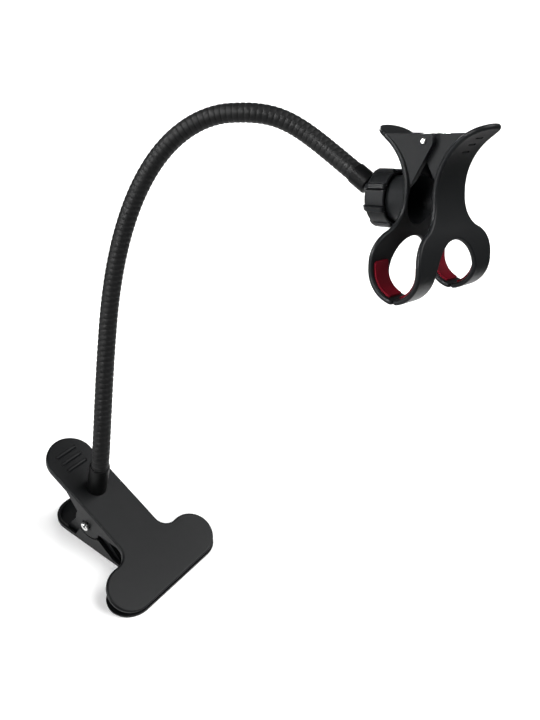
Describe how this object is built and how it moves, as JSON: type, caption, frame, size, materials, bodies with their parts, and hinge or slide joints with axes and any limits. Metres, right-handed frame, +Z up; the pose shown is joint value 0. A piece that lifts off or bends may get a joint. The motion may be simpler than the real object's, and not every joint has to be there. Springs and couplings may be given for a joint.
{
  "type": "phone gooseneck holder",
  "caption": "Clip-on phone holder: a sprung hammer-headed desk clip, a ribbed gooseneck and a butterfly phone clip on a ball joint with a ribbed lock nut.",
  "frame": {"origin": "on the lower clip jaw's flat outer face, straight below the clip's hinge pin", "axes": "+X runs from the clip's tail to its mouth, +Y is to the left of that, +Z is up through the hinge pin"},
  "size_m": [0.2023, 0.1806, 0.2621],
  "materials": {
    "satin_plastic": "satin",
    "neck_sheath": "satin",
    "blackened_metal": "matte",
    "ball_plastic": "polished",
    "clip_rubber": "matte",
    "red_rubber": "matte",
    "bright_steel": "bright",
    "spring_steel": "drawn"
  },
  "bodies": {
    "base": {"clip_upper_jaw": "satin_plastic", "clip_upper_pad": "clip_rubber", "clip_pin": "bright_steel", "clip_spring": "spring_steel", "neck_collar": "blackened_metal", "collar_washer": "spring_steel", "collar_screw": "spring_steel", "gooseneck": "neck_sheath"},
    "lower_jaw": {"clip_lower_jaw": "satin_plastic", "clip_lower_pad": "clip_rubber"},
    "neck_head": {"upper_ferrule": "blackened_metal"},
    "ball": {"ball_stud": "ball_plastic"},
    "holder": {"holder_back_jaw": "satin_plastic", "holder_pin": "bright_steel", "holder_spring": "spring_steel", "back_grip_pad_near": "red_rubber", "back_grip_pad_far": "red_rubber"},
    "holder_front": {"holder_front_jaw": "satin_plastic", "front_grip_pad_near": "red_rubber", "front_grip_pad_far": "red_rubber"},
    "nut": {"lock_nut": "satin_plastic"}
  },
  "joints": [
    {"name": "clip_open", "type": "hinge", "parent": "base", "child": "lower_jaw", "pos_m": [0, 0, 0.0212], "axis": [0, 1, 0], "range_deg": [0, 36], "stiffness_Nm_per_rad": 1.2, "springref_deg": -28.65, "deforming": ["clip_spring"]},
    {"name": "neck_bend", "type": "hinge", "parent": "base", "child": "neck_head", "pos_m": [-0.00745, 0.0758, 0.22119], "axis": [-0.3949, 0.8143, -0.4254], "range_deg": [-35, 35], "deforming": ["gooseneck"]},
    {"name": "ball_spin", "type": "hinge", "parent": "neck_head", "child": "ball", "pos_m": [0.1094, 0.1166, 0.2157], "axis": [0.9241, -0.087, -0.372], "continuous": true},
    {"name": "ball_tilt", "type": "hinge", "parent": "ball", "child": "holder", "pos_m": [0.1094, 0.1166, 0.2157], "axis": [-0.0787, -0.9962, 0.0376], "range_deg": [-74, 3]},
    {"name": "holder_open", "type": "hinge", "parent": "holder", "child": "holder_front", "pos_m": [0.1312, 0.12097, 0.24787], "axis": [-0.116, -0.9707, 0.2105], "range_deg": [0, 60], "stiffness_Nm_per_rad": 0.5, "springref_deg": -28.65, "deforming": ["holder_spring"]},
    {"name": "nut_turn", "type": "hinge", "parent": "holder", "child": "nut", "pos_m": [0.1094, 0.1166, 0.2157], "axis": [0.973, -0.0685, 0.2203], "range_deg": [0, 330]}
  ]
}
